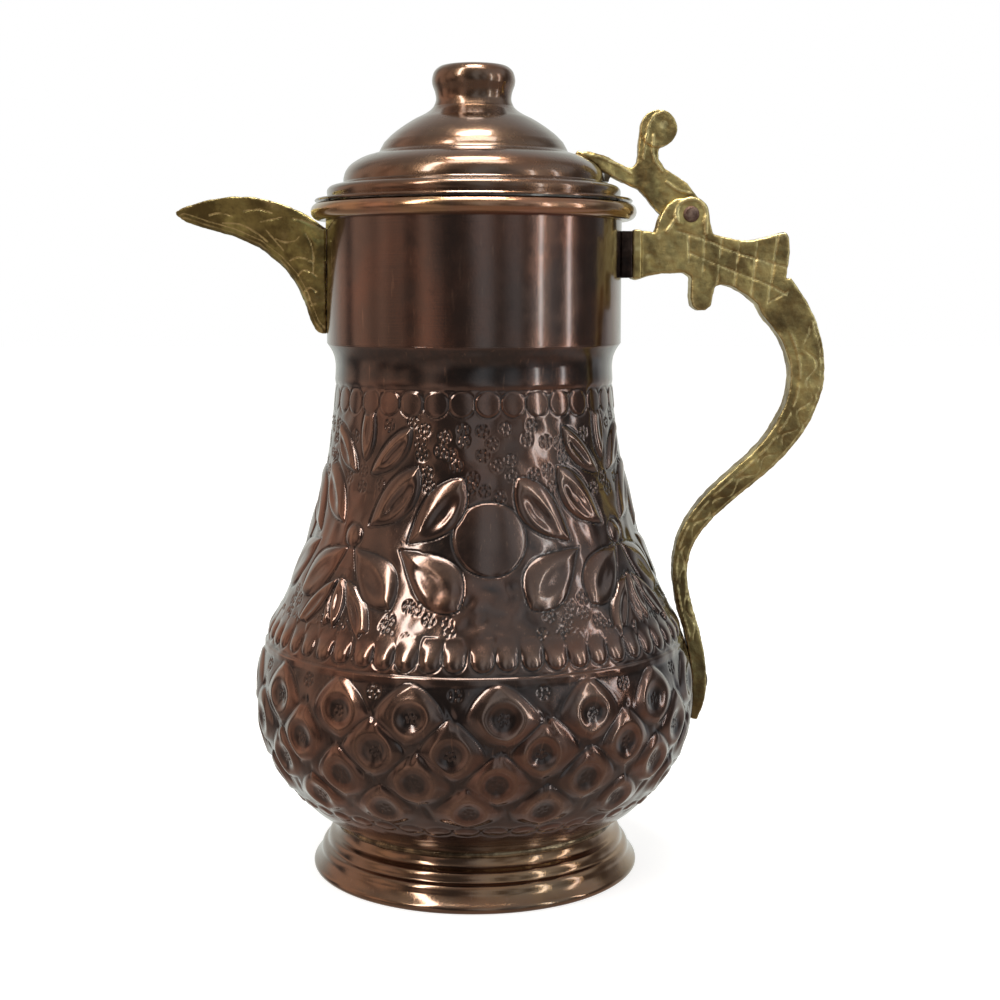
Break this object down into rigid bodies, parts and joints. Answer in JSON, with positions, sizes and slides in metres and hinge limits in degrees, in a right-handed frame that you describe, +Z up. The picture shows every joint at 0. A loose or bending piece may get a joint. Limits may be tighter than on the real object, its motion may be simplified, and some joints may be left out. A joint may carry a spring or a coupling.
{
  "type": "copper water jug",
  "caption": "Pear-shaped chased copper water jug on a foot ring, with a brass beak spout, a curved cast brass handle and a hinged domed lid with a thumb lever.",
  "frame": {"origin": "centre of the foot's underside, on the surface that the jug stands on", "axes": "+Z up along the jug's axis, +X towards the handle, beak spout towards -X, +Y across the handle"},
  "size_m": [0.2293, 0.1576, 0.2856],
  "materials": {
    "copper": "oxidised dark and rubbed back, satin",
    "brass": "cast, aged, edges rubbed bright",
    "solder": "dull tin solder",
    "iron": "hammered, dull"
  },
  "bodies": {
    "jug": {"vessel": "copper", "rim_wire": "iron", "foot": "copper", "foot_wire": "iron", "foot_solder": "solder", "spout": "brass", "spout_solder": "solder", "handle": "brass", "handle_saddle": "copper", "upper_roves": "copper", "lower_rivet": "copper", "lower_rove": "copper", "hinge_pin": "iron"},
    "lid": {"lid_shell": "copper", "lid_knob": "copper", "lid_bezel": "copper", "thumb_lever": "brass", "tongue_solder": "solder", "tongue_rivets": "copper", "tongue_roves": "copper"}
  },
  "joints": [
    {"name": "lid_hinge", "type": "hinge", "parent": "jug", "child": "lid", "pos_m": [0.076, 0, 0.2343], "axis": [0, 1, 0], "range_deg": [0, 100]}
  ]
}
